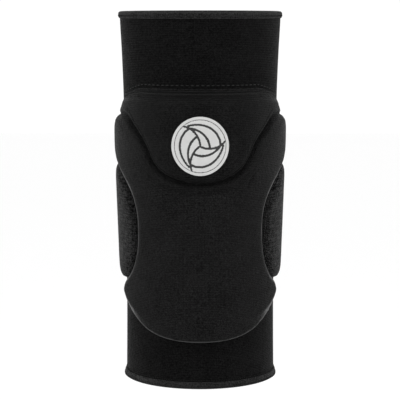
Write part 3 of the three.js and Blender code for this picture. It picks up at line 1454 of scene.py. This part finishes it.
@dataclass
class PocketCloth:
    """The cover's cloth between the foams: drawn in at the crease, let down over the top.

    It is worked out on a grid, as the distance out from the sleeve at each turn and height.

    Attributes:
        leg: the form that it follows.
        upper: the upper pad's cover.
        main: the main pad's cover.
        strip: the seam strip.
        cell: the grid's spacing.
        wrap: the turn that the grid covers.
        bridge: up to how far from both covers the cloth is free, in front.
        widening: how much further it is free at one radian round, as a share.
        crest_steps: over how many cells the covers' height is carried on at first.
        margin: how many cells at the grid's edges aren't free.
        steps: how often the cloth is drawn taut.
        depth: how deep the crease is in front.
        crease: half the width of the crease.
        shift: how far the crease lies towards the upper pad in front.
        corner_turn: the turn at which the crease begins to change towards the corner.
        corner_width: the turn over which it does. At the end it lies towards the main pad.
        corner_share: how much of the depth is gone there.
        end_share: the share of the wrap at which the ends begin to sink under the covers.
        end_width: the share of the wrap over which they sink.
        ledge: how far below the upper pad's top edge the cloth is let down.
        corner: how far from the strip the pad's top edge may be, for the cloth to reach it.
        tuck: how far its edges lie under the covers.
        wall: its thickness.
        turns: the turn of each point of the grid.
        heights: the height of each point of the grid.
    """

    leg: LegForm
    upper: bpy.types.Object
    main: bpy.types.Object
    strip: bpy.types.Object
    cell: float = 0.7 * MM
    wrap: float = math.radians(176)
    bridge: float = 8.0 * MM
    widening: float = 0.35
    crest_steps: int = 7
    margin: int = 3
    steps: int = 300
    depth: float = 3.2 * MM
    crease: float = 2.4 * MM
    shift: float = 1.7 * MM
    corner_turn: float = math.radians(56)
    corner_width: float = math.radians(16)
    corner_share: float = 0.6
    end_share: float = 0.43
    end_width: float = 0.06
    ledge: float = 0.7 * MM
    corner: float = 5.0 * MM
    tuck: float = 0.25 * MM
    wall: float = 0.5 * MM
    turns: np.ndarray = field(init=False)
    heights: np.ndarray = field(init=False)

    def __post_init__(self) -> None:
        """Lays out the grid."""
        low, high = node_heights("upper_pad")
        columns = int(self.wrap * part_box("sleeve")[1][0] / self.cell)
        turns = np.linspace(-self.wrap / 2, self.wrap / 2, columns)
        rows = int((high - low + 3 * self.bridge) / self.cell)
        heights = np.linspace(low - 2 * self.bridge, high + self.bridge, rows)
        self.turns, self.heights = np.meshgrid(turns, heights, indexing="ij")

    def build(self) -> bpy.types.Object:
        """Makes the cloth, as a thin closed shell that dives under the covers at its edges.

        Returns:
            The cloth.
        """
        upper, main = surface_tree(self.upper), surface_tree(self.main)
        trees = (upper, main, surface_tree(self.strip))
        stands = [self.leg.outs(tree, self.turns, self.heights) for tree in trees]
        covers = np.maximum.reduce(stands)
        crest = covers
        for _ in range(self.crest_steps):
            crest = self._widest(crest)
        bridge = self.bridge * (1 + self.widening * abs(self.turns))
        over = self._over_top(stands[0])
        between = (self._gaps(upper, crest) < bridge) & (self._gaps(main, crest) < bridge)
        inside = np.zeros_like(between)
        inside[self.margin : -self.margin, self.margin : -self.margin] = True
        free = (between | over) & inside
        taut = np.where(between & ~over, crest, covers)
        for _ in range(self.steps):
            taut = np.where(free, self._mean(taut), covers)
        drawn = self._crease(upper, main, taut) * (between & ~over)
        end = ramp(abs(self.turns), self.wrap * self.end_share, self.wrap * self.end_width)
        skin = np.where(free, taut - drawn - end**2 * self.bridge, covers - self.tuck)
        return self._shell(skin, self._widest(free.astype(float)) > 0)

    def _over_top(self, upper_outs: np.ndarray) -> np.ndarray:
        """Tells where the cloth is let down from the strip to the upper pad's top edge.

        Args:
            upper_outs: how far the upper pad's cover is out at each point of the grid.

        Returns:
            A truth value for each point.
        """
        strip_low, strip_high = node_heights("pocket_seam")
        raised = np.where(upper_outs > self.tuck, self.heights, -1.0)
        edge = raised.max(1, keepdims=True)
        drop = strip_drop(self.turns)
        near = edge > strip_low - drop - self.corner
        middle = (strip_low + strip_high) / 2 - drop
        return near & (self.heights > edge - self.ledge) & (self.heights < middle)

    def _crease(self, upper: BVHTree, main: BVHTree, taut: np.ndarray) -> np.ndarray:
        """Gives how deep the cloth is drawn in, which is most half way between the covers.

        Args:
            upper: the surface of the upper pad's cover.
            main: the surface of the main pad's cover.
            taut: how far out the cloth is where it is taut.

        Returns:
            A depth for each point of the grid.
        """
        corner = ramp(abs(self.turns), self.corner_turn, self.corner_width)
        shift = self.shift * (1 - 2 * corner)
        apart = self._gaps(upper, taut) - self._gaps(main, taut) + 2 * shift
        depth = self.depth * (1 - self.corner_share * corner)
        return depth * np.exp(-((apart / self.crease) ** 2))

    def _points(self, outs: np.ndarray) -> np.ndarray:
        """Gives the grid's points at a distance out from the sleeve, as rows."""
        return self.leg.places(self.turns, self.heights, outs).reshape(-1, 3)

    def _gaps(self, tree: BVHTree, outs: np.ndarray) -> np.ndarray:
        """Gives the distance of the grid's points from a surface."""
        gaps = [tree.find_nearest(Vector(point))[3] for point in self._points(outs)]
        return np.array(gaps).reshape(self.turns.shape)

    @staticmethod
    def _around(values: np.ndarray) -> list[np.ndarray]:
        """Gives the four neighbours of each point of a grid."""
        return [np.roll(values, step, axis) for axis in (0, 1) for step in (-1, 1)]

    def _mean(self, values: np.ndarray) -> np.ndarray:
        """Gives the mean of each point's neighbours."""
        return sum(self._around(values)) / 4

    def _widest(self, values: np.ndarray) -> np.ndarray:
        """Gives the greatest of each point and its neighbours."""
        return np.maximum.reduce([values, *self._around(values)])

    def _shell(self, outs: np.ndarray, shown: np.ndarray) -> bpy.types.Object:
        """Makes the shell over a part of the grid.

        Args:
            outs: how far out the cloth is at each point.
            shown: which points it covers.

        Returns:
            The shell.
        """
        whole = shown[:-1, :-1] & shown[1:, :-1] & shown[1:, 1:] & shown[:-1, 1:]
        count = self.turns.shape[1]
        faces = []
        for i, j in zip(*np.nonzero(whole)):
            here = int(i * count + j)
            faces.append((here, here + count, here + count + 1, here + 1))
        made = mesh_object("pocket_cloth", self._points(outs), faces)
        work = bmesh.new()
        work.from_mesh(made.data)
        alone = [vertex for vertex in work.verts if not vertex.link_faces]
        bmesh.ops.delete(work, geom=alone, context="VERTS")
        work.to_mesh(made.data)
        work.free()
        solid = made.modifiers.new("wall", "SOLIDIFY")
        solid.thickness = self.wall
        solid.offset = -1.0
        apply_modifiers(made)
        return tidy_mesh(made)

    def dress(self, made: bpy.types.Object, material: bpy.types.Material) -> bpy.types.Object:
        """Gives the cloth its colour."""
        return finish_piece(made, material, "pad_cover")


@dataclass
class Badge:
    """A round embroidered badge: a plain ball in satin stitch on a dark backing.

    Places on it are shares of its half width, across and up from its middle.

    Attributes:
        cover: the cover that it lies on.
        width: its width; not used.
        backing: how far out the backing's face is.
        sunk: how far its underside is sunk into the cover.
        rings: how many rings of faces the backing has.
        sides: how many faces there are round it.
        spacing: the distance between threads.
        thread: how thick a thread is.
        thread_steps: how many points are tried along a thread.
        lift: how far a thread's middle is over the backing, in thicknesses.
        dive: how much deeper its ends are, likewise.
        lean: the direction of the first third's threads, in degrees.
        lean_radius: how far out the threads lean as the seams do.
        seam: the width of the gap between two panels.
        swirl: how far a seam turns from the middle to the edge, in radians.
        seam_reach: how far out the main seams are drawn.
        seam_steps: how many points they have.
        panel_starts: the points of a main seam at which the two seams beside it start.
        border: the length of the border's stitches.
        border_spacing: their distance, in distances between threads.
        border_turn: how far each leans, in radians.
        border_steps: how many points each has.
        ahead: how far in front of the leg a point is looked for.
        face: the surface of the cover.
        half: half the size of the badge's node.
        middle: the middle of the badge's node.
    """

    cover: bpy.types.Object
    width: float = 38 * MM
    backing: float = 0.35 * MM
    sunk: float = 0.3 * MM
    rings: int = 24
    sides: int = 96
    spacing: float = 0.40 * MM
    thread: float = 0.52 * MM
    thread_steps: int = 120
    lift: float = 0.30
    dive: float = 0.28
    lean: float = 300.0
    lean_radius: float = 0.6
    seam: float = 1.3 * MM
    swirl: float = 0.8
    seam_reach: float = 1.3
    seam_steps: int = 80
    panel_starts: tuple[int, int] = (21, 43)
    border: float = 1.6 * MM
    border_spacing: float = 1.1
    border_turn: float = 0.03
    border_steps: int = 6
    ahead: float = 200 * MM
    face: BVHTree = field(init=False)
    half: Vector = field(init=False)
    middle: Vector = field(init=False)

    def __post_init__(self) -> None:
        """Finds the badge's place on the cover."""
        places = vertex_places(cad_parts["badge"].data)
        low, high = places.min(0), places.max(0)
        self.face = surface_tree(self.cover)
        self.half = Vector((high - low) / 2)
        self.middle = Vector((high + low) / 2)

    def place(self, across: float, up: float, out: float) -> Vector:
        """Gives a point over the cover.

        Args:
            across: its place across.
            up: its place up.
            out: its distance from the cover.

        Returns:
            The point.
        """
        start = Vector((across * self.half.x, -self.ahead, self.middle.z + up * self.half.z))
        hit, normal, _, _ = self.face.ray_cast(start, Vector((0, 1, 0)))
        return hit + normal * out

    def build_backing(self) -> bpy.types.Object:
        """Makes the backing, a thin disc that is sunk a little into the cover.

        Returns:
            The backing.
        """
        points, faces = [], []
        around = range(self.sides)
        for out in (self.backing, -self.sunk):
            first = len(points)
            points.append(self.place(0, 0, out))
            for ring in range(1, self.rings + 1):
                for side in around:
                    share, angle = ring / self.rings, math.tau * side / self.sides
                    points.append(self.place(share * math.cos(angle), share * math.sin(angle), out))
            for side in around:
                faces.append((first, first + 1 + side, first + 1 + (side + 1) % self.sides))
            for start in range(first + 1, len(points) - self.sides, self.sides):
                faces.extend(ring_faces(start, start + self.sides, self.sides))
        upper_rim, lower_rim = len(points) // 2 - self.sides, len(points) - self.sides
        faces.extend(ring_faces(upper_rim, lower_rim, self.sides))
        return tidy_mesh(mesh_object("badge_backing", points, faces))

    def _main_seam(self, third: int) -> np.ndarray:
        """Draws one of the three main seams.

        Args:
            third: which one, from 0 to 3, where the last is the first again.

        Returns:
            Its points, from the middle outwards.
        """
        radii = np.linspace(0, self.seam_reach, self.seam_steps)
        angles = math.radians(90 + 120 * third) + self.swirl * radii
        return np.stack([radii * np.cos(angles), radii * np.sin(angles)], -1)

    def _seams(self) -> list[np.ndarray]:
        """Gives the ball's seams: the main ones, and two beside each that start from the one before.

        Returns:
            The points of each seam.
        """
        lines = []
        for third in range(3):
            start, beside = self._main_seam(third), self._main_seam(third + 1)
            lines.append(start)
            for point in self.panel_starts:
                line = start[point] + beside
                lines.append(line[self._thirds(line) == third])
        return [line[np.hypot(line[:, 0], line[:, 1]) < 1] for line in lines]

    def _thirds(self, points: np.ndarray) -> np.ndarray:
        """Tells in which third of the ball each point is.

        Args:
            points: the points as rows.

        Returns:
            The thirds, from 0 to 2.
        """
        radii = np.hypot(points[:, 0], points[:, 1])
        angles = np.arctan2(points[:, 1], points[:, 0]) - math.radians(90) - self.swirl * radii
        return (np.floor((angles % math.tau) / (math.tau / 3)) % 3).astype(int)

    def build_threads(self) -> bpy.types.Object:
        """Draws the satin stitches, panel by panel, and the border round them.

        Returns:
            An object that holds the threads as lines of edges.
        """
        half = self.half.x
        seams = np.concatenate(self._seams()) * half
        most = half - self.border - self.seam / 3
        threads: list[np.ndarray] = []
        rows = int(2 * half / self.spacing)
        steps = np.linspace(-half, half, self.thread_steps)
        for third in range(3):
            lean = math.radians(120 * third + self.lean) + self.swirl * self.lean_radius
            along = np.array([math.cos(lean), math.sin(lean)])
            aside = np.array([-along[1], along[0]])
            for row in range(-rows // 2, rows // 2 + 1):
                line = aside * row * self.spacing + steps[:, None] * along
                near = np.linalg.norm(line[:, None] - seams[None], axis=2).min(1)
                inside = (self._thirds(line / half) == third) & (np.linalg.norm(line, axis=1) < most)
                threads.extend(self._runs(line / half, inside & (near > self.seam / 2)))
        threads.extend(self._border())
        points: list[Vector] = []
        edges: list[tuple[int, int]] = []
        for line in threads:
            edges.extend((i, i + 1) for i in range(len(points), len(points) + len(line) - 1))
            points.extend(self._thread(line))
        return mesh_object("badge_threads", points, [], edges)

    @staticmethod
    def _runs(line: np.ndarray, shown: np.ndarray) -> list[np.ndarray]:
        """Cuts a line into the runs of its shown points, and leaves out the shortest ones.

        Args:
            line: the points.
            shown: which of them are shown.

        Returns:
            The runs.
        """
        turns = np.flatnonzero(np.diff(np.concatenate([[0], shown.astype(int), [0]])))
        return [line[start:end] for start, end in zip(turns[::2], turns[1::2]) if end - start > 2]

    def _thread(self, line: np.ndarray) -> list[Vector]:
        """Lays a thread over the backing, which it dives into at both ends.

        Args:
            line: its places on the badge.

        Returns:
            Its points.
        """
        outs = np.full(len(line), self.backing + self.thread * self.lift)
        outs[[0, -1]] -= self.thread * self.dive
        return [self.place(across, up, out) for (across, up), out in zip(line, outs)]

    def _border(self) -> list[np.ndarray]:
        """Gives the short stitches of the border, across the badge's edge.

        Returns:
            The places of each stitch.
        """
        half = self.half.x
        count = int(math.tau * half / (self.spacing * self.border_spacing))
        shares = np.linspace(0, 1, self.border_steps)
        radii = 1 - self.border / half * (1 - shares)
        stitches = []
        for i in range(count):
            angles = math.tau * i / count + self.border_turn * shares
            stitches.append(np.stack([radii * np.cos(angles), radii * np.sin(angles)], -1))
        return stitches


# The studio


@dataclass
class Studio:
    """A pale floor, a white surround, the lights and the camera.

    Attributes:
        floor_drop: how far the floor is below the object.
        floor_size: the floor's width.
        floor_tone: its grey.
        surround: the brightness of the surround.
        power: the power of each light in watts.
        camera_place: where the camera is.
        camera_dip: how far it looks down, in degrees.
        lens: its focal length in millimetres.
        sensor: the width of its sensor in millimetres.
        shift: how far its frame is moved across, in widths.
        camera_reach: how far it sees.
    """

    floor_drop: float = 0.35
    floor_size: float = 12.0
    floor_tone: float = 0.96
    surround: float = 1.03
    power: float = 3.0
    camera_place: tuple[float, float, float] = (0.0, -1.1, 0.152)
    camera_dip: float = 7.29
    lens: float = 145.5
    sensor: float = 36.0
    shift: float = -0.0004
    camera_reach: float = 30.0

    def build(self) -> None:
        """Makes the floor, the lights and the camera."""
        self._floor()
        self._world()
        self._light("left_panel", (-0.95, 0.12, 0.2), (0.8, 1.0))
        self._light("right_panel", (0.95, 0.12, 0.2), (0.8, 1.0))
        self._light("top_panel", (0.0, -0.6, 1.1), (0.7, 0.5))
        self._camera()
        bpy.context.scene.view_settings.view_transform = "Standard"

    def _floor(self) -> None:
        """Makes the floor."""
        half = self.floor_size / 2
        level = FRAME_BOUNDS[0][2] - self.floor_drop
        corners = [(x * half, y * half, level) for x, y in ((-1, -1), (1, -1), (1, 1), (-1, 1))]
        floor = tidy_mesh(mesh_object("floor", corners, [(0, 1, 2, 3)]))
        floor.data.materials.append(PlainFinish("floor_paper", self.floor_tone).make())

    def _world(self) -> None:
        """Makes the white surround."""
        world = bpy.data.worlds.new("surround")
        world.use_nodes = True
        background = world.node_tree.nodes["Background"]
        background.inputs["Color"].default_value = grey(self.surround)
        background.inputs["Strength"].default_value = 1.0
        bpy.context.scene.world = world

    def _light(
        self, name: str, place: tuple[float, float, float], size: tuple[float, float]
    ) -> None:
        """Adds one soft panel that faces the object.

        Args:
            name: the light's name.
            place: where it is.
            size: its width and height.
        """
        data = bpy.data.lights.new(name, "AREA")
        data.shape = "RECTANGLE"
        data.size, data.size_y = size
        data.energy = self.power
        light = bpy.data.objects.new(name, data)
        light.location = place
        light.rotation_euler = (-Vector(place)).to_track_quat("-Z", "Y").to_euler()
        bpy.context.scene.collection.objects.link(light)

    def _camera(self) -> None:
        """Adds the camera, in front of the knee and a little above it."""
        data = bpy.data.cameras.new("camera")
        data.lens = self.lens
        data.sensor_width = self.sensor
        data.shift_x = self.shift
        data.clip_end = self.camera_reach
        camera = bpy.data.objects.new("camera", data)
        camera.location = self.camera_place
        camera.rotation_euler = (math.radians(90 - self.camera_dip), 0.0, 0.0)
        bpy.context.scene.collection.objects.link(camera)
        bpy.context.scene.camera = camera


# The whole


@dataclass
class Tube:
    """The sleeve with its hems, the seam strip and their stitches.

    Attributes:
        leg: the form that they follow.
        seam_wrap: the turn that the stitches along the strip cover.
        upper_share: how far down the upper hem its stitches are, as a share of it.
        lower_rise: how far up the lower hem its stitches are.
        over_lower: how far over the lower hem the running stitches are.
        over_strip: how far over the strip its upper row is.
        ease: the width of the unworn sleeve, as a share of the worn one.
        cloth: the sleeve's tube, once it is built.
        strip: the seam strip.
        sewn: the hems and the stitches.
    """

    leg: LegForm
    seam_wrap: float = 2.62
    upper_share: float = 0.62
    lower_rise: float = 1.6 * MM
    over_lower: float = 0.9 * MM
    over_strip: float = 2.0 * MM
    ease: float = 0.95
    cloth: bpy.types.Object = field(init=False)
    strip: bpy.types.Object = field(init=False)
    sewn: list[bpy.types.Object] = field(init=False)

    def build(self) -> None:
        """Builds and dresses the pieces."""
        sleeve, seam = Sleeve(self.leg), PocketSeam(self.leg)
        jersey = KnitFinish("sleeve_jersey", 0.0066, sheen=0.04, sheen_spread=0.12, specular=0.01)
        band = KnitFinish("hem_rib", 0.022, 420, 1.0 * MM, 0.15 * MM).make()
        self.cloth = sleeve.dress(sleeve.build(), jersey.make())
        self.sewn = []
        for hem in (
            Hem(self.leg, End.UPPER, "upper_hem", 0.7 * MM, 200),
            Hem(self.leg, End.LOWER, "lower_hem", 0.85 * MM, 150),
        ):
            self.sewn.append(hem.dress(hem.build(), band))
        self.strip = seam.dress(seam.build(), KnitFinish("seam_jersey", 0.012).make())
        thread = ThreadFinish("black_thread", 0.012).make()
        self.sewn.extend(row.build(thread) for row in self._rows())
        worn_thread = ThreadFinish("worn_black_thread", 0.03).make()
        self.sewn.append(self._worn_row().build(worn_thread))

    def _rows(self) -> list[StitchRow]:
        """Gives the rows of black stitches.

        Returns:
            The rows, from the top hem down to the bottom and then the strip's.
        """
        upper_low, upper_top = node_heights("upper_hem")
        lower_low, lower_top = node_heights("lower_hem")
        strip_middle = sum(node_heights("pocket_seam")) / 2
        upper_height = upper_top - (upper_top - upper_low) * self.upper_share
        lower_height = lower_low + self.lower_rise
        top_height = lower_top + self.over_lower
        overlock = StitchNodes(1.5 * MM, 2.0 * MM, 0.42 * MM, 1.0)
        zigzag = StitchNodes(1.25 * MM, 1.9 * MM, 0.34 * MM, 0.9)
        running = StitchNodes(1.7 * MM, 1.25 * MM, 0.40 * MM, 0.0)
        hem, seam, wrap, leg = "hem_knit", "seam_knit", self.seam_wrap, self.leg
        return [
            StitchRow(leg, "upper_hem_stitches", upper_height, 1.05 * MM, hem, zigzag),
            StitchRow(leg, "lower_hem_stitches", lower_height, 1.35 * MM, hem, overlock),
            StitchRow(leg, "lower_hem_top_stitches", top_height, 0.15 * MM, hem, running),
            StitchRow(leg, "strip_stitches", strip_middle, 0.95 * MM, seam, zigzag, wrap),
        ]

    def _worn_row(self) -> StitchRow:
        """Gives the row of long worn stitches over the strip.

        Returns:
            The row.
        """
        height = node_heights("pocket_seam")[1] + self.over_strip
        long_running = StitchNodes(3.3 * MM, 2.5 * MM, 0.60 * MM, 0.0)
        return StitchRow(
            self.leg,
            "strip_top_stitches",
            height,
            out=0.15 * MM,
            slot="seam_knit",
            nodes=long_running,
            wrap=self.seam_wrap,
        )

    def declare(self, *pieces: bpy.types.Object) -> None:
        """Args:
            pieces: what else is sewn to it; not used.
        """
        turns = np.linspace(0, math.tau, 361)
        girth = self.leg.radius(turns, np.zeros(len(turns))).mean() * math.tau
        girth * self.ease


@dataclass
class Pads:
    """The four pads, the cloth between them and the badge.

    Attributes:
        leg: the form that they lie on.
        strip: the seam strip over the upper pad.
        front_fill: how full of foam the two front pads are; not used.
        side_fill: how full the two side pads are; not used.
        low_rise: how far over the strip's lower edge the lowest stitches are.
        low_wrap: the turn that they cover.
        covers: the cover for each pad's node, once it is built.
        sewn: the cloth between the pads and the lowest stitches.
    """

    leg: LegForm
    strip: bpy.types.Object
    front_fill: float = 0.9
    side_fill: float = 0.8
    low_rise: float = 0.5 * MM
    low_wrap: float = 2.3
    covers: dict[str, bpy.types.Object] = field(init=False)
    sewn: list[bpy.types.Object] = field(init=False)

    def build(self) -> None:
        bib_cover = KnitFinish("bib_jersey", 0.0080, rim_highlight_tone=0.065).make()
        self._build_covers(bib_cover)
        upper = self.covers["upper_pad"]
        cloth = PocketCloth(self.leg, upper, self.covers["main_pad"], self.strip)
        web = cloth.dress(cloth.build(), bib_cover)
        row = StitchRow(
            self.leg,
            "strip_low_stitches",
            node_heights("pocket_seam")[0] + self.low_rise,
            out=0.05 * MM,
            slot="seam_knit",
            nodes=StitchNodes(1.5 * MM, 1.5 * MM, 0.55 * MM, 0.0),
            wrap=self.low_wrap,
            over=(web, self.strip, upper),
        )
        self.sewn = [web, row.build(ThreadFinish("worn_seam_thread", 0.024).make())]
        self._build_badge(upper)

    def _build_covers(self, bib_cover: bpy.types.Material) -> None:
        """Builds the covers of the four pads.

        Args:
            bib_cover: the cloth of the upper pad.
        """
        cover = KnitFinish("pad_jersey", 0.0100, rim_highlight_tone=0.17).make()
        side_cover = KnitFinish(
            "side_jersey",
            0.014,
            wales_round=150,
            course=1.6 * MM,
            relief=0.35 * MM,
            slub_relief=0.6 * MM,
            side_grain_and_sheen=4.0,
            sheen=0.038,
        ).make()
        # The painted highlights along the front pads' free edges.
        main_rim = RimHighlight("upper_pad", below_top=7.0 * MM)
        upper_rim = RimHighlight("main_pad", from_turn=0.9)
        self.covers = {}
        for pad, fill, material in (
            (Pad(self.leg, "main_pad", main_rim), self.front_fill, cover),
            (Pad(self.leg, "upper_pad", upper_rim), self.front_fill, bib_cover),
            (Pad(self.leg, "side_pad_left"), self.side_fill, side_cover),
            (Pad(self.leg, "side_pad_right"), self.side_fill, side_cover),
        ):
            self.covers[pad.node] = pad.dress(pad.build(), material)

    @staticmethod
    def _build_badge(cover: bpy.types.Object) -> None:
        """Args:
            cover: the cover of the upper pad.
        """
        badge = Badge(cover)
        dark = ThreadFinish("badge_cloth", 0.03, sheen=0.3, roughness=0.8, specular=0.3).make()
        white = ThreadFinish("white_thread", 0.63, sheen=0.05, specular=0.2).make()
        base = finish_piece(badge.build_backing(), dark, "badge_thread", "badge")
        threads = ThreadNodes(badge.thread).spin(badge.build_threads(), white)
        finish_piece(threads, white, "badge_thread")


def main() -> None:
    """Builds the knee pad and its studio."""
    logging.basicConfig(level=logging.INFO)
    leg = LegForm()
    tube = Tube(leg)
    tube.build()
    pads = Pads(leg, tube.strip)
    pads.build()
    tube.declare(*pads.sewn)
    Studio().build()
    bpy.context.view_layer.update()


if __name__ == "__main__":
    main()
